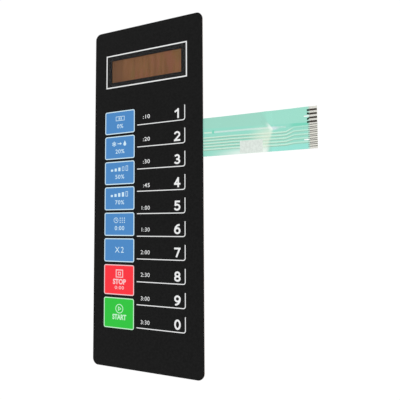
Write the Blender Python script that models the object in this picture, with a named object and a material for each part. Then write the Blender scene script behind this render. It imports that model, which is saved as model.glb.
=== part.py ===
"""A membrane keypad for an oven control panel, lying face up on its backing paper.

Seven films are bonded into one flat panel. The lower circuit film runs on past the panel's right edge as the
flexible tail, whose end carries the contacts. The print on the face is modelled as thin layers of ink.

Metres. The origin is the middle of the panel's rear face, +X points to the tail, +Y to the display window and
+Z out of the face.
"""

import math

import bmesh
import bpy
import numpy as np
from mathutils import Matrix, Vector

# Films, from the back of the panel to its face
LINER_THICKNESS = 0.00012
REAR_ADHESIVE_THICKNESS = 0.00015
LOWER_FILM_THICKNESS = 0.00013
SPACER_THICKNESS = 0.00020
UPPER_FILM_THICKNESS = 0.00013
OVERLAY_ADHESIVE_THICKNESS = 0.00010
OVERLAY_THICKNESS = 0.00018
INK_THICKNESS = 0.00003
BOND_LINE = 0.00002
SEAM = 0.00003

# Face layout from left to right
LEFT_MARGIN = 0.00985
FUNCTION_KEY_WIDTH = 0.0270
COLUMN_GAP = 0.00235
NUMBER_KEY_WIDTH = 0.0403
RIGHT_MARGIN = 0.0137

# Face layout from top to bottom
TOP_MARGIN = 0.0196
FRAME_HEIGHT = 0.0265
FRAME_TO_KEYS = 0.0189
FUNCTION_KEY_HEIGHT = 0.01788
FUNCTION_KEY_GAP = 0.0019
STOP_KEY_HEIGHT = 0.0228
START_KEY_HEIGHT = 0.02295
LARGE_KEY_GAP = 0.0021
BOTTOM_MARGIN = 0.02912
PLAIN_KEY_COUNT = 6
NUMBER_KEY_COUNT = 10

# Display window
FRAME_INSET = 0.0007
FRAME_OVERHANG = 0.0016
FRAME_LINE = 0.0009
WINDOW_SIDE_BAND = 0.0039
WINDOW_END_BAND = 0.0035
LENS_CLEARANCE = 0.00005

# Printed keys
PANEL_CORNER_RADIUS = 0.0048
KEY_CORNER_RADIUS = 0.0015
KEY_LINE = 0.00072
NUMBER_COLUMN_INSET = 0.0017
BRACKET_HEIGHT = 0.0113
BRACKET_LINE = 0.00064
BRACKET_CORNER_RADIUS = 0.0019
NUMERAL_WIDTH = 0.0051
NUMERAL_HEIGHT = 0.00725
NUMERAL_STROKE = 0.00128
NUMERAL_FROM_RIGHT = 0.0065
NUMERAL_ABOVE_LINE = 0.0014

# Switch cells inside the panel
CELL_RADIUS = 0.0044
PAD_RADIUS = 0.0034
PAD_THICKNESS = 0.00001
VENT_WIDTH = 0.0010

# Tail, as the lengths that follow each other from the panel's edge to the contacts' end
TAIL_STRAIGHT = 0.0020
TAIL_RAMP = 0.0112
RAMP_TO_LABEL = 0.0139
LABEL_LENGTH = 0.0159
LABEL_TO_CREASE = 0.0004
CREASE_REACH = 0.0039
CREASE_TO_RAMP = 0.00905
STIFFENER_RAMP = 0.0077
STIFFENER_LENGTH = 0.0106

# Tail's other sizes
KEYS_TO_TAIL = 0.01335
CREASE_SLANT = 0.00435
CREASE_HEIGHT = 0.0004
INSULATION_THICKNESS = 0.00003
STIFFENER_THICKNESS = 0.00020
LABEL_WIDTH = 0.0086
LABEL_EDGE_MARGIN = 0.0003
LABEL_THICKNESS = 0.00008

# Contacts and slots at the end of the tail
CONTACT_PITCH = 0.00254
CARBON_CONTACT_COUNT = 4
SILVER_CONTACT_COUNT = 6
CARBON_CONTACT_WIDTH = 0.0012
SILVER_CONTACT_WIDTH = 0.00085
CONTACT_END_MARGIN = 0.0002
TAIL_SIDE_MARGIN = 0.00225
BARE_LENGTH = 0.0048
SLOT_LENGTH = 0.0033
SLOT_WIDTH = 0.0008
SLOT_PITCHES = 6
SLOT_BEFORE_BARE = 0.0003

# Fineness of arcs
PANEL_CORNER_STEPS = 10
KEY_CORNER_STEPS = 4
DISC_SIDES = 16
SLOT_END_STEPS = 4
BOW_STEP_DEGREES = 18

# Height of each film's underside
REAR_ADHESIVE_BASE = LINER_THICKNESS + BOND_LINE
LOWER_FILM_BASE = REAR_ADHESIVE_BASE + REAR_ADHESIVE_THICKNESS + BOND_LINE
SPACER_BASE = LOWER_FILM_BASE + LOWER_FILM_THICKNESS + BOND_LINE
UPPER_FILM_BASE = SPACER_BASE + SPACER_THICKNESS + BOND_LINE
OVERLAY_ADHESIVE_BASE = UPPER_FILM_BASE + UPPER_FILM_THICKNESS + BOND_LINE
OVERLAY_BASE = OVERLAY_ADHESIVE_BASE + OVERLAY_ADHESIVE_THICKNESS + BOND_LINE
PRINT_BASE = OVERLAY_BASE + OVERLAY_THICKNESS + BOND_LINE

# Function keys from top to bottom, and the column that they make
KEY_HEIGHTS = [FUNCTION_KEY_HEIGHT] * PLAIN_KEY_COUNT + [STOP_KEY_HEIGHT, START_KEY_HEIGHT]
KEY_GAPS = [FUNCTION_KEY_GAP] * (PLAIN_KEY_COUNT - 1) + [LARGE_KEY_GAP] * 2
KEY_COLUMN_HEIGHT = sum(KEY_HEIGHTS) + sum(KEY_GAPS)

# Panel
PANEL_WIDTH = LEFT_MARGIN + FUNCTION_KEY_WIDTH + COLUMN_GAP + NUMBER_KEY_WIDTH + RIGHT_MARGIN
PANEL_HEIGHT = TOP_MARGIN + FRAME_HEIGHT + FRAME_TO_KEYS + KEY_COLUMN_HEIGHT + BOTTOM_MARGIN
PANEL_LEFT = -PANEL_WIDTH / 2
PANEL_RIGHT = PANEL_WIDTH / 2
PANEL_TOP = PANEL_HEIGHT / 2

# Places on the face
FUNCTION_KEYS_X = PANEL_LEFT + LEFT_MARGIN + FUNCTION_KEY_WIDTH / 2
NUMBER_KEYS_RIGHT = PANEL_RIGHT - RIGHT_MARGIN
NUMBER_KEYS_X = NUMBER_KEYS_RIGHT - NUMBER_KEY_WIDTH / 2
KEYS_TOP = PANEL_TOP - TOP_MARGIN - FRAME_HEIGHT - FRAME_TO_KEYS
NUMBER_SPAN = KEY_COLUMN_HEIGHT - 2 * NUMBER_COLUMN_INSET - BRACKET_HEIGHT
NUMBER_PITCH = NUMBER_SPAN / (NUMBER_KEY_COUNT - 1)
NUMBER_KEYS_TOP = KEYS_TOP - NUMBER_COLUMN_INSET

# Window frame, the lens inside it, and the cut-out in the films below
FRAME_LEFT = PANEL_LEFT + LEFT_MARGIN + FRAME_INSET
FRAME_RIGHT = NUMBER_KEYS_RIGHT + FRAME_OVERHANG
FRAME_WIDTH = FRAME_RIGHT - FRAME_LEFT
WINDOW_CENTRE = ((FRAME_LEFT + FRAME_RIGHT) / 2, PANEL_TOP - TOP_MARGIN - FRAME_HEIGHT / 2)
LENS_OPENING = (FRAME_WIDTH - FRAME_LINE, FRAME_HEIGHT - FRAME_LINE)
WINDOW_WIDTH = FRAME_WIDTH - 2 * (FRAME_LINE + WINDOW_SIDE_BAND)
WINDOW_HEIGHT = FRAME_HEIGHT - 2 * (FRAME_LINE + WINDOW_END_BAND)

# Tail
LABEL_START = TAIL_STRAIGHT + TAIL_RAMP + RAMP_TO_LABEL
CREASE_AT = LABEL_START + LABEL_LENGTH + LABEL_TO_CREASE + CREASE_REACH
STIFFENER_START = CREASE_AT + CREASE_REACH + CREASE_TO_RAMP + STIFFENER_RAMP
TAIL_LENGTH = STIFFENER_START + STIFFENER_LENGTH
CONTACT_COUNT = CARBON_CONTACT_COUNT + SILVER_CONTACT_COUNT
TAIL_WIDTH = (CONTACT_COUNT - 1) * CONTACT_PITCH + 2 * TAIL_SIDE_MARGIN
TAIL_TOP = KEYS_TOP - KEYS_TO_TAIL
TAIL_BOTTOM = TAIL_TOP - TAIL_WIDTH
TAIL_Y = (TAIL_TOP + TAIL_BOTTOM) / 2
TAIL_END = PANEL_RIGHT + TAIL_LENGTH
TAIL_END_BASE = STIFFENER_THICKNESS + BOND_LINE
SLOT_SPACING = SLOT_PITCHES * CONTACT_PITCH
SLOT_X = TAIL_END - BARE_LENGTH - SLOT_BEFORE_BARE - SLOT_LENGTH / 2

# The tail's underside: how high it lies at each distance from the panel's edge
TAIL_PROFILE = (
    (TAIL_STRAIGHT, LOWER_FILM_BASE),
    (TAIL_STRAIGHT + TAIL_RAMP, 0.0),
    (CREASE_AT - CREASE_REACH, 0.0),
    (CREASE_AT, CREASE_HEIGHT),
    (CREASE_AT + CREASE_REACH, 0.0),
    (STIFFENER_START - STIFFENER_RAMP, 0.0),
    (STIFFENER_START, TAIL_END_BASE),
)
SLANTED = (CREASE_AT - CREASE_REACH, CREASE_AT, CREASE_AT + CREASE_REACH)

BLACK = (0.012, 0.012, 0.012)
WHITE = (0.80, 0.80, 0.80)
BLUE = (0.07, 0.28, 0.62)
RED = (0.90, 0.045, 0.06)
GREEN = (0.035, 0.55, 0.06)
SMOKE = (0.18, 0.10, 0.06)
KRAFT = (0.42, 0.27, 0.15)
CLEAR_FILM = (0.60, 0.62, 0.58)
DARK_ADHESIVE = (0.03, 0.03, 0.03)
MINT = (0.33, 0.70, 0.55)
CARBON = (0.05, 0.04, 0.04)
SILVER = (0.60, 0.58, 0.52)
PAPER = (0.75, 0.76, 0.74)


def clear_scene():
    for obj in list(bpy.data.objects):
        bpy.data.objects.remove(obj, do_unlink=True)


def new_collection(name, parent):
    collection = bpy.data.collections.new(name)
    parent.children.link(collection)
    return collection


def material(name, colour, roughness=0.5, metallic=0.0):
    made = bpy.data.materials.get(name)
    if made:
        return made
    made = bpy.data.materials.new(name)
    made.use_nodes = True
    shader = made.node_tree.nodes["Principled BSDF"]
    shader.inputs["Base Color"].default_value = (*colour, 1.0)
    shader.inputs["Roughness"].default_value = roughness
    shader.inputs["Metallic"].default_value = metallic
    return made


def arc(centre, radius, start, end, steps):
    """Points along an arc, its angles in degrees, with both ends."""
    angles = np.radians(np.linspace(start, end, steps + 1))
    return [(centre[0] + radius * math.cos(a), centre[1] + radius * math.sin(a)) for a in angles]


def rectangle(width, height, radius=0.0, steps=KEY_CORNER_STEPS, centre=(0.0, 0.0)):
    """A rectangle's outline, anticlockwise from the lower right, with rounded corners where it has a radius."""
    outline = []
    for side_x, side_y, start in ((1, -1, -90), (1, 1, 0), (-1, 1, 90), (-1, -1, 180)):
        corner = (centre[0] + side_x * width / 2, centre[1] + side_y * height / 2)
        if radius > 0:
            middle = (corner[0] - side_x * radius, corner[1] - side_y * radius)
            outline += arc(middle, radius, start, start + 90, steps)
        else:
            outline.append(corner)
    return outline


def sheet(name, outlines, thickness, base, look, parts, place=(0.0, 0.0)):
    """A film cut to its outlines, the first its outside and the others its holes."""
    curve = bpy.data.curves.new(name, "CURVE")
    curve.dimensions = "2D"
    curve.fill_mode = "BOTH"
    curve.extrude = thickness / 2
    for outline in outlines:
        spline = curve.splines.new("POLY")
        spline.points.add(len(outline) - 1)
        for point, (x, y) in zip(spline.points, outline):
            point.co = (x, y, 0.0, 1.0)
        spline.use_cyclic_u = True
    curve.materials.append(look)
    piece = bpy.data.objects.new(name, curve)
    piece.location = (place[0], place[1], base + thickness / 2)
    parts.objects.link(piece)
    return piece


def as_mesh(piece):
    """The same piece with its curve made a welded mesh, which can be cut and bent."""
    bpy.context.view_layer.update()
    graph = bpy.context.evaluated_depsgraph_get()
    mesh = bpy.data.meshes.new_from_object(piece.evaluated_get(graph))
    editor = bmesh.new()
    editor.from_mesh(mesh)
    bmesh.ops.remove_doubles(editor, verts=editor.verts, dist=1e-6)
    editor.to_mesh(mesh)
    editor.free()
    name = piece.name
    collection = piece.users_collection[0]
    place = piece.matrix_world.copy()
    bpy.data.objects.remove(piece, do_unlink=True)
    solid = bpy.data.objects.new(name, mesh)
    solid.matrix_world = place
    collection.objects.link(solid)
    return solid


def helper(name, mesh, collection):
    """A solid that only cuts or joins others."""
    tool = bpy.data.objects.new(name, mesh)
    tool.hide_render = True
    tool.display_type = "WIRE"
    collection.objects.link(tool)
    return tool


def disc(name, radius, low, high, place, collection):
    mesh = bpy.data.meshes.new(name)
    editor = bmesh.new()
    bmesh.ops.create_cone(
        editor, cap_ends=True, segments=DISC_SIDES, radius1=radius, radius2=radius, depth=high - low
    )
    editor.to_mesh(mesh)
    editor.free()
    tool = helper(name, mesh, collection)
    tool.location = (place[0], place[1], (low + high) / 2)
    return tool


def bar(name, size, place, collection):
    mesh = bpy.data.meshes.new(name)
    editor = bmesh.new()
    bmesh.ops.create_cube(editor, size=1.0, matrix=Matrix.Diagonal((*size, 1.0)))
    editor.to_mesh(mesh)
    editor.free()
    tool = helper(name, mesh, collection)
    tool.location = place
    return tool


def combine(piece, tools, operation):
    modifier = piece.modifiers.new(operation.lower(), "BOOLEAN")
    modifier.operation = operation
    modifier.operand_type = "COLLECTION"
    modifier.collection = tools
    modifier.solver = "EXACT"


def function_key_places():
    """Centre and height of each function key, from top to bottom."""
    places = []
    top = KEYS_TOP
    for height, gap in zip(KEY_HEIGHTS, KEY_GAPS + [0.0]):
        places.append(((FUNCTION_KEYS_X, top - height / 2), height))
        top -= height + gap
    return places


def number_key_places():
    """Centre of each number key's bracket, from top to bottom."""
    first = NUMBER_KEYS_TOP - BRACKET_HEIGHT / 2
    return [(NUMBER_KEYS_X, first - NUMBER_PITCH * row) for row in range(NUMBER_KEY_COUNT)]


def panel_outline():
    return rectangle(PANEL_WIDTH, PANEL_HEIGHT, PANEL_CORNER_RADIUS, PANEL_CORNER_STEPS)


def window_outline():
    return rectangle(WINDOW_WIDTH, WINDOW_HEIGHT, centre=WINDOW_CENTRE)


def slot_outline(y):
    """One round-ended slot through the end of the tail."""
    return rectangle(SLOT_LENGTH, SLOT_WIDTH, SLOT_WIDTH / 2, SLOT_END_STEPS, (SLOT_X, y))


def slot_outlines():
    return [slot_outline(TAIL_Y + side * SLOT_SPACING / 2) for side in (1, -1)]


def lower_film_outline():
    """The panel's outline with the tail standing out from its right side, anticlockwise."""
    corners = panel_outline()
    upper_right = [point for point in corners if point[0] > 0 and point[1] > 0]
    others = [point for point in corners if point[0] < 0]
    lower_right = [point for point in corners if point[0] > 0 and point[1] < 0]
    tail = [
        (PANEL_RIGHT, TAIL_BOTTOM),
        (TAIL_END, TAIL_BOTTOM),
        (TAIL_END, TAIL_TOP),
        (PANEL_RIGHT, TAIL_TOP),
    ]
    return lower_right + tail + upper_right + others


def fold_shift(distance, y):
    """How far along the tail a slanted fold lies at this height of the panel."""
    return CREASE_SLANT * (TAIL_Y - y) / TAIL_WIDTH if distance in SLANTED else 0.0


def tail_height(x, y):
    """Height of the tail's underside over the surface that the keypad lies on."""
    distances = [PANEL_RIGHT + distance + fold_shift(distance, y) for distance, _ in TAIL_PROFILE]
    return float(np.interp(x, distances, [height for _, height in TAIL_PROFILE]))


def lay_tail(piece):
    """Folds the tail's part of a flat film along its fold lines, so that it lies on the surface."""
    editor = bmesh.new()
    editor.from_mesh(piece.data)
    for distance, _ in TAIL_PROFILE:
        top = Vector((PANEL_RIGHT + distance + fold_shift(distance, TAIL_TOP), TAIL_TOP, 0.0))
        bottom = Vector((PANEL_RIGHT + distance + fold_shift(distance, TAIL_BOTTOM), TAIL_BOTTOM, 0.0))
        across = (top - bottom).cross(Vector((0.0, 0.0, 1.0)))
        bmesh.ops.bisect_plane(
            editor,
            geom=editor.verts[:] + editor.edges[:] + editor.faces[:],
            dist=1e-7,
            plane_co=top,
            plane_no=across,
        )
    for vertex in editor.verts:
        x = vertex.co.x + piece.location.x
        y = vertex.co.y + piece.location.y
        vertex.co.z += tail_height(x, y) - LOWER_FILM_BASE
    editor.to_mesh(piece.data)
    editor.free()


def make_pads(film, low, high, cutters):
    """Prints a contact pad on a circuit film under each key, joined to the film."""
    pads = new_collection(film.name + "_pads", cutters)
    places = [place for place, _ in function_key_places()] + number_key_places()
    for number, place in enumerate(places, 1):
        disc(f"{film.name}_pad_{number}", PAD_RADIUS, low, high, place, pads)
    combine(film, pads, "UNION")


def make_panel_films(parts, cutters):
    paper = material("kraft_paper", KRAFT, 0.8)
    adhesive = material("dark_adhesive", DARK_ADHESIVE, 0.6)
    clear = material("clear_film", CLEAR_FILM, 0.3)
    pane = [panel_outline(), window_outline()]

    sheet("release_liner", [panel_outline()], LINER_THICKNESS, 0.0, paper, parts)
    sheet("rear_adhesive", pane, REAR_ADHESIVE_THICKNESS, REAR_ADHESIVE_BASE, adhesive, parts)

    outlines = [lower_film_outline(), window_outline()] + slot_outlines()
    lower = as_mesh(sheet("lower_circuit", outlines, LOWER_FILM_THICKNESS, LOWER_FILM_BASE, clear, parts))
    lay_tail(lower)
    lower_face = LOWER_FILM_BASE + LOWER_FILM_THICKNESS
    make_pads(lower, lower_face - LOWER_FILM_THICKNESS / 2, lower_face + PAD_THICKNESS, cutters)

    spacer = as_mesh(sheet("spacer", pane, SPACER_THICKNESS, SPACER_BASE, clear, parts))
    combine(spacer, make_cells(cutters), "DIFFERENCE")

    upper = as_mesh(sheet("upper_circuit", pane, UPPER_FILM_THICKNESS, UPPER_FILM_BASE, clear, parts))
    make_pads(upper, UPPER_FILM_BASE - PAD_THICKNESS, UPPER_FILM_BASE + UPPER_FILM_THICKNESS / 2, cutters)

    sheet(
        "overlay_adhesive", pane, OVERLAY_ADHESIVE_THICKNESS, OVERLAY_ADHESIVE_BASE, adhesive, parts
    )


def make_cells(cutters):
    """The round cells under the keys, and the vents that let air pass between them."""
    cells = new_collection("spacer_cells", cutters)
    low = SPACER_BASE - SPACER_THICKNESS
    high = SPACER_BASE + 2 * SPACER_THICKNESS
    columns = ([place for place, _ in function_key_places()], number_key_places())
    for column, places in zip(("function", "number"), columns):
        for number, place in enumerate(places, 1):
            disc(f"{column}_cell_{number}", CELL_RADIUS, low, high, place, cells)
        length = places[0][1] - places[-1][1]
        middle = (places[0][0], (places[0][1] + places[-1][1]) / 2, (low + high) / 2)
        bar(f"{column}_vent", (VENT_WIDTH, length, high - low), middle, cells)
    cross_y = columns[0][0][1]
    cross = ((FUNCTION_KEYS_X + NUMBER_KEYS_X) / 2, cross_y, (low + high) / 2)
    bar("cross_vent", (NUMBER_KEYS_X - FUNCTION_KEYS_X, VENT_WIDTH, high - low), cross, cells)
    return cells


def make_overlay(parts):
    """The black face film, and the smoked lens that fills its window opening."""
    opening = rectangle(*LENS_OPENING, centre=WINDOW_CENTRE)
    lens = [side - 2 * LENS_CLEARANCE for side in LENS_OPENING]
    black = material("black_film", BLACK, 0.55)
    smoke = material("smoked_film", SMOKE, 0.25)
    sheet("graphic_overlay", [panel_outline(), opening], OVERLAY_THICKNESS, OVERLAY_BASE, black, parts)
    sheet("display_window", [rectangle(*lens)], OVERLAY_THICKNESS, OVERLAY_BASE, smoke, parts, WINDOW_CENTRE)


def ring(name, width, height, radius, line, look, parts, place):
    """A printed line around a field."""
    outside = rectangle(width, height, radius)
    inside = rectangle(width - 2 * line, height - 2 * line, max(radius - line, 0.0))
    return sheet(name, [outside, inside], INK_THICKNESS, PRINT_BASE, look, parts, place)


def make_function_keys(parts):
    white = material("white_ink", WHITE)
    looks = [material("blue_ink", BLUE)] * PLAIN_KEY_COUNT
    looks += [material("red_ink", RED), material("green_ink", GREEN)]
    border = KEY_LINE + SEAM
    for number, ((place, height), look) in enumerate(zip(function_key_places(), looks), 1):
        size = (FUNCTION_KEY_WIDTH, height)
        ring(f"key_outline_{number}", *size, KEY_CORNER_RADIUS, KEY_LINE, white, parts, place)
        radius = max(KEY_CORNER_RADIUS - border, 0.0)
        field = rectangle(size[0] - 2 * border, size[1] - 2 * border, radius)
        sheet(f"key_field_{number}", [field], INK_THICKNESS, PRINT_BASE, look, parts, place)


def bracket_outline():
    """An L lying on its long side: a line under the key that turns up at its right end."""
    right = NUMBER_KEY_WIDTH / 2
    top = BRACKET_HEIGHT / 2
    turn = (right - BRACKET_CORNER_RADIUS, BRACKET_CORNER_RADIUS - top)
    outer = arc(turn, BRACKET_CORNER_RADIUS, -90, 0, KEY_CORNER_STEPS)
    inner = arc(turn, BRACKET_CORNER_RADIUS - BRACKET_LINE, 0, -90, KEY_CORNER_STEPS)
    ends = [(-right, BRACKET_LINE - top), (-right, -top)]
    return outer + [(right, top), (right - BRACKET_LINE, top)] + inner + ends


def bow(x, y, reach_x, reach_y, start, end):
    """Points along part of an oval, its angles in degrees."""
    steps = max(round(abs(end - start) / BOW_STEP_DEGREES), 2)
    angles = np.radians(np.linspace(start, end, steps + 1))
    return [(x + reach_x * math.cos(a), y + reach_y * math.sin(a)) for a in angles]


def turned(strokes):
    """The same strokes turned half round, as a 6 is a 9."""
    return [[(-x, 1 - y) for x, y in path] for path in strokes]


def numeral_strokes():
    """Each numeral's strokes as centre lines, in a box that runs from -1 to 1 across and from 0 to 1 up."""
    six = [bow(0, 0.31, 1, 0.31, 0, 360), bow(0.8, 0.33, 1.8, 0.67, 180, 95)]
    return {
        "0": [bow(0, 0.5, 1, 0.5, 0, 360)],
        "1": [[(0.45, 0), (0.45, 1)], [(0.3, 0.93), (-0.7, 0.74)]],
        "2": [bow(0, 0.71, 1, 0.29, 150, -30) + [(-0.7, 0.08)], [(-1, 0), (1, 0)]],
        "3": [bow(-0.05, 0.75, 0.85, 0.25, 135, -90), bow(-0.05, 0.25, 1, 0.25, 90, -140)],
        "4": [[(0.42, 0), (0.42, 1)], [(-1, 0.3), (1, 0.3)], [(0.25, 0.92), (-0.82, 0.39)]],
        "5": [[(0.8, 1), (-0.68, 1), (-0.74, 0.58)], bow(-0.1, 0.31, 1.08, 0.31, 125, -140)],
        "6": six,
        "7": [[(-1, 1), (1, 1)], [(0.9, 0.98), (-0.3, 0.06)]],
        "8": [bow(0, 0.755, 0.86, 0.245, 0, 360), bow(0, 0.255, 1, 0.255, 0, 360)],
        "9": turned(six),
    }


def stroke_outlines(path, width):
    """The outlines of a stroke: two for a path that closes, and otherwise one with square ends."""
    path = [Vector(point) for point in path]
    runs = [(after - before).normalized() for before, after in zip(path, path[1:])]
    closed = (path[0] - path[-1]).length < width / 100
    if closed:
        path.pop()
        pairs = zip([runs[-1]] + runs, runs)
    else:
        path[0] = path[0] - runs[0] * width / 2
        path[-1] = path[-1] + runs[-1] * width / 2
        pairs = zip([runs[0]] + runs, runs + [runs[-1]])
    left = []
    right = []
    for point, (before, after) in zip(path, pairs):
        along = (before + after).normalized()
        reach = width / 2 / along.dot(after)
        across = Vector((-along.y, along.x)) * reach
        left.append(tuple(point + across))
        right.append(tuple(point - across))
    return [left, right] if closed else [left + right[::-1]]


def make_numeral(digit, paths, place, look, parts, cutters):
    """A numeral joined from its strokes, its place the middle of its foot."""
    reach_x = (NUMERAL_WIDTH - NUMERAL_STROKE) / 2
    reach_y = NUMERAL_HEIGHT - NUMERAL_STROKE
    joined = new_collection(f"numeral_{digit}_strokes", cutters)
    for number, path in enumerate(paths):
        line = [(x * reach_x, y * reach_y + NUMERAL_STROKE / 2) for x, y in path]
        outlines = stroke_outlines(line, NUMERAL_STROKE)
        name = f"numeral_{digit}" if number == 0 else f"stroke_{digit}_{number}"
        home = parts if number == 0 else joined
        piece = as_mesh(sheet(name, outlines, INK_THICKNESS, PRINT_BASE, look, home, place))
        if number == 0:
            numeral = piece
        else:
            piece.hide_render = True
            piece.display_type = "WIRE"
    if len(paths) > 1:
        combine(numeral, joined, "UNION")


def make_number_keys(parts, cutters):
    white = material("white_ink", WHITE)
    strokes = numeral_strokes()
    for row, place in enumerate(number_key_places()):
        digit = str((row + 1) % NUMBER_KEY_COUNT)
        sheet(f"bracket_{digit}", [bracket_outline()], INK_THICKNESS, PRINT_BASE, white, parts, place)
        foot = place[1] - BRACKET_HEIGHT / 2 + BRACKET_LINE + NUMERAL_ABOVE_LINE
        spot = (NUMBER_KEYS_RIGHT - NUMERAL_FROM_RIGHT, foot)
        make_numeral(digit, strokes[digit], spot, white, parts, cutters)


def make_window_frame(parts):
    white = material("white_ink", WHITE)
    ring("window_frame", FRAME_WIDTH, FRAME_HEIGHT, 0.0, FRAME_LINE, white, parts, WINDOW_CENTRE)


def make_tail_cover(parts):
    """The green insulation over the tail, which leaves the contacts bare."""
    mint = material("green_insulation", MINT, 0.35)
    base = LOWER_FILM_BASE + LOWER_FILM_THICKNESS + BOND_LINE
    start = PANEL_RIGHT + SEAM
    end = TAIL_END - BARE_LENGTH
    cover = rectangle(end - start, TAIL_WIDTH, centre=((start + end) / 2, TAIL_Y))
    outlines = [cover] + slot_outlines()
    lay_tail(as_mesh(sheet("tail_insulation", outlines, INSULATION_THICKNESS, base, mint, parts)))


def make_tail_end(parts):
    """The stiffener under the contacts, and the contacts printed on the bare film."""
    paper = material("label_paper", PAPER, 0.7)
    middle = (TAIL_END - STIFFENER_LENGTH / 2, TAIL_Y)
    outlines = [rectangle(STIFFENER_LENGTH, TAIL_WIDTH, centre=middle)] + slot_outlines()
    sheet("tail_stiffener", outlines, STIFFENER_THICKNESS, 0.0, paper, parts)

    carbon = material("carbon_ink", CARBON, 0.6)
    silver = material("silver_ink", SILVER, 0.4)
    kinds = [("carbon", CARBON_CONTACT_WIDTH, carbon)] * CARBON_CONTACT_COUNT
    kinds += [("silver", SILVER_CONTACT_WIDTH, silver)] * SILVER_CONTACT_COUNT
    length = BARE_LENGTH - SEAM - CONTACT_END_MARGIN
    x = TAIL_END - CONTACT_END_MARGIN - length / 2
    first = TAIL_Y + CONTACT_PITCH * (CONTACT_COUNT - 1) / 2
    base = TAIL_END_BASE + LOWER_FILM_THICKNESS + BOND_LINE
    for number, (kind, width, look) in enumerate(kinds):
        name = f"{kind}_contact_{number + 1}"
        place = (x, first - CONTACT_PITCH * number)
        sheet(name, [rectangle(length, width)], INK_THICKNESS, base, look, parts, place)


def make_label(parts):
    paper = material("label_paper", PAPER, 0.7)
    place = (
        PANEL_RIGHT + LABEL_START + LABEL_LENGTH / 2,
        TAIL_BOTTOM + LABEL_EDGE_MARGIN + LABEL_WIDTH / 2,
    )
    base = LOWER_FILM_THICKNESS + BOND_LINE + INSULATION_THICKNESS + BOND_LINE
    outline = rectangle(LABEL_LENGTH, LABEL_WIDTH)
    sheet("tail_label", [outline], LABEL_THICKNESS, base, paper, parts, place)


def main():
    clear_scene()
    parts = new_collection("membrane_keypad", bpy.context.scene.collection)
    cutters = new_collection("cutters", bpy.context.scene.collection)
    make_panel_films(parts, cutters)
    make_overlay(parts)
    make_window_frame(parts)
    make_function_keys(parts)
    make_number_keys(parts, cutters)
    make_tail_cover(parts)
    make_tail_end(parts)
    make_label(parts)


main()
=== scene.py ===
"""The looks of a membrane keypad: its films and inks, small print, printed traces, light and camera.

Metres, in the frame of the CAD model: the origin is the middle of the panel's rear face, +X points to the
tail, +Y to the display window and +Z out of the face.
"""

import math

import bmesh
import bpy
import numpy as np
from mathutils import Matrix, Vector
from mathutils.bvhtree import BVHTree


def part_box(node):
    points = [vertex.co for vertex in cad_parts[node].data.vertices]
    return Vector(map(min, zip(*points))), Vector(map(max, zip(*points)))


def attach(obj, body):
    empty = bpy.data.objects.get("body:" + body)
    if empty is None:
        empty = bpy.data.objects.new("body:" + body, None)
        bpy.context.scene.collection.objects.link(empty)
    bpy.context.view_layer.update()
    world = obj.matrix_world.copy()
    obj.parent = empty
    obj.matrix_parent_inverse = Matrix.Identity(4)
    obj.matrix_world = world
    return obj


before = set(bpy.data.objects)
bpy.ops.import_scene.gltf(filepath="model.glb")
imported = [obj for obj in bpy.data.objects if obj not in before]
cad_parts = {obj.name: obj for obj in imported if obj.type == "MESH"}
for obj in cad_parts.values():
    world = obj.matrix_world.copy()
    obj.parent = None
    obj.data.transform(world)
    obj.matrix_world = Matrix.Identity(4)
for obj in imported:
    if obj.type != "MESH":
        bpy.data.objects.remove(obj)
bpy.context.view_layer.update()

# Camera, which matches the photograph's view, with its turn in degrees and its lens in millimetres
CAMERA_PLACE = (0.15563, -0.02244, 0.26211)
CAMERA_TURN = (3.198, 23.13, -0.333)
CAMERA_LENS = 36.334
CAMERA_SENSOR = 36.0
CAMERA_NEAREST = 0.01

# Light and floor
SKY_LIGHT = 0.6
LAMP_PLACE = (0.70, -0.10, 1.20)
LAMP_SIZE = 0.6
LAMP_POWER = 8.6
FLOOR_WIDTH = 8.0
FLOOR_DEPTH = 0.00005
FLOOR_GLOW = 0.86
FLOOR_SHADE = 0.18
FLOOR_BOUNCE = 0.8

# Numbers in the names of the keys and contacts
BLUE_KEYS = range(1, 7)
DOUBLE_KEY = 6
STOP_KEY = 7
START_KEY = 8
CARBON_CONTACTS = range(1, 5)
SILVER_CONTACTS = range(5, 11)

# Print that this script adds to the face, its width and spacing as shares of the font's own
PRINT_RISE = 0.00002
PRINT_DEPTH = 0.00003
LETTER_WIDTH = 1.06
LETTER_SPACING = 1.10
LETTER_CURVE_STEPS = 4
LEGEND_HEIGHT = 0.0032
LEGEND_WEIGHT = 0.008
LEGEND_SHIFT = 0.0003
LEGEND_SPREAD = 0.0030
WORD_HEIGHT = 0.0041
WORD_WEIGHT = 0.04
WORD_SPACING = 1.0
STOP_SHIFT = 0.0005
START_SHIFT = 0.0006

# The times beside the number keys, each with a small shift up or down
TIME_HEIGHT = 0.0030
TIME_RIGHT = 0.0036
TIME_ABOVE_LINE = 0.0041
SHORT_TIME = {"width": 1.12, "weight": 0.009}
LONG_TIME = {"width": 0.98, "weight": 0.0}
TIMES = (
    (":10", 0.0005),
    (":20", 0.0002),
    (":30", 0.0001),
    (":45", -0.0010),
    ("1:00", -0.0010),
    ("1:30", -0.0003),
    ("2:00", -0.0002),
    ("2:30", 0.0001),
    ("3:00", -0.0004),
    ("3:30", -0.0008),
)

# Low ridges of print on the tail, which keep a share of their rise at the sides and fall to it in a bevel
RIDGE_RISE = 0.00003
RIDGE_SIDE_SHARE = 0.1
RIDGE_BEVEL = 0.00012
RIDGE_STEP = 0.0003
RIDGE_MARGIN = 0.00005
RAY_START = 0.01

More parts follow.
